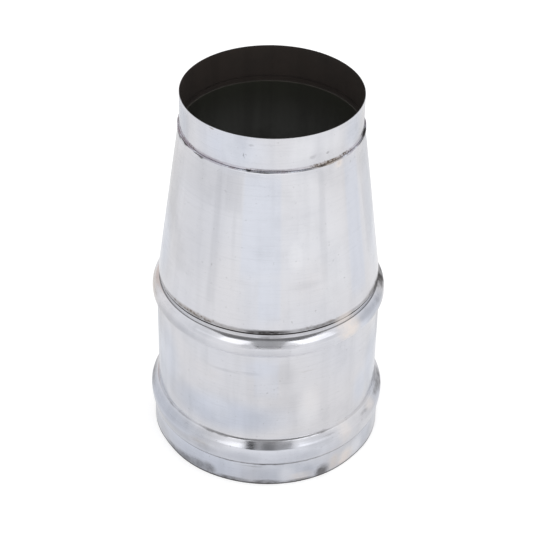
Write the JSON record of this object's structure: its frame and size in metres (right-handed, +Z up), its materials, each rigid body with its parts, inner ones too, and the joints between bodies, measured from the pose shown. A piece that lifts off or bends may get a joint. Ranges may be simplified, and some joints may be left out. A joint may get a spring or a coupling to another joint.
{
  "type": "flue terminal cap",
  "caption": "Open tapered terminal for a twin-wall flue: a plain round neck on a cone, over a beaded sleeve with a socket foot and an inner flue tube.",
  "frame": {"origin": "on the axis, level with the foot of the socket", "axes": "+Z up the flue, out of the neck; the part is round about Z"},
  "size_m": [0.2074, 0.2074, 0.336],
  "materials": {
    "casing_steel": "bright rolled stainless sheet with fine marks round the part",
    "flue_steel": "bright outside, dulled dark inside",
    "weld_metal": "rough weld with brown and violet heat tint"
  },
  "bodies": {
    "root": {"casing_sleeve": "casing_steel", "cone_shell": "casing_steel", "neck_collar": "flue_steel", "flue_liner": "flue_steel", "neck_weld": "weld_metal"}
  },
  "joints": []
}
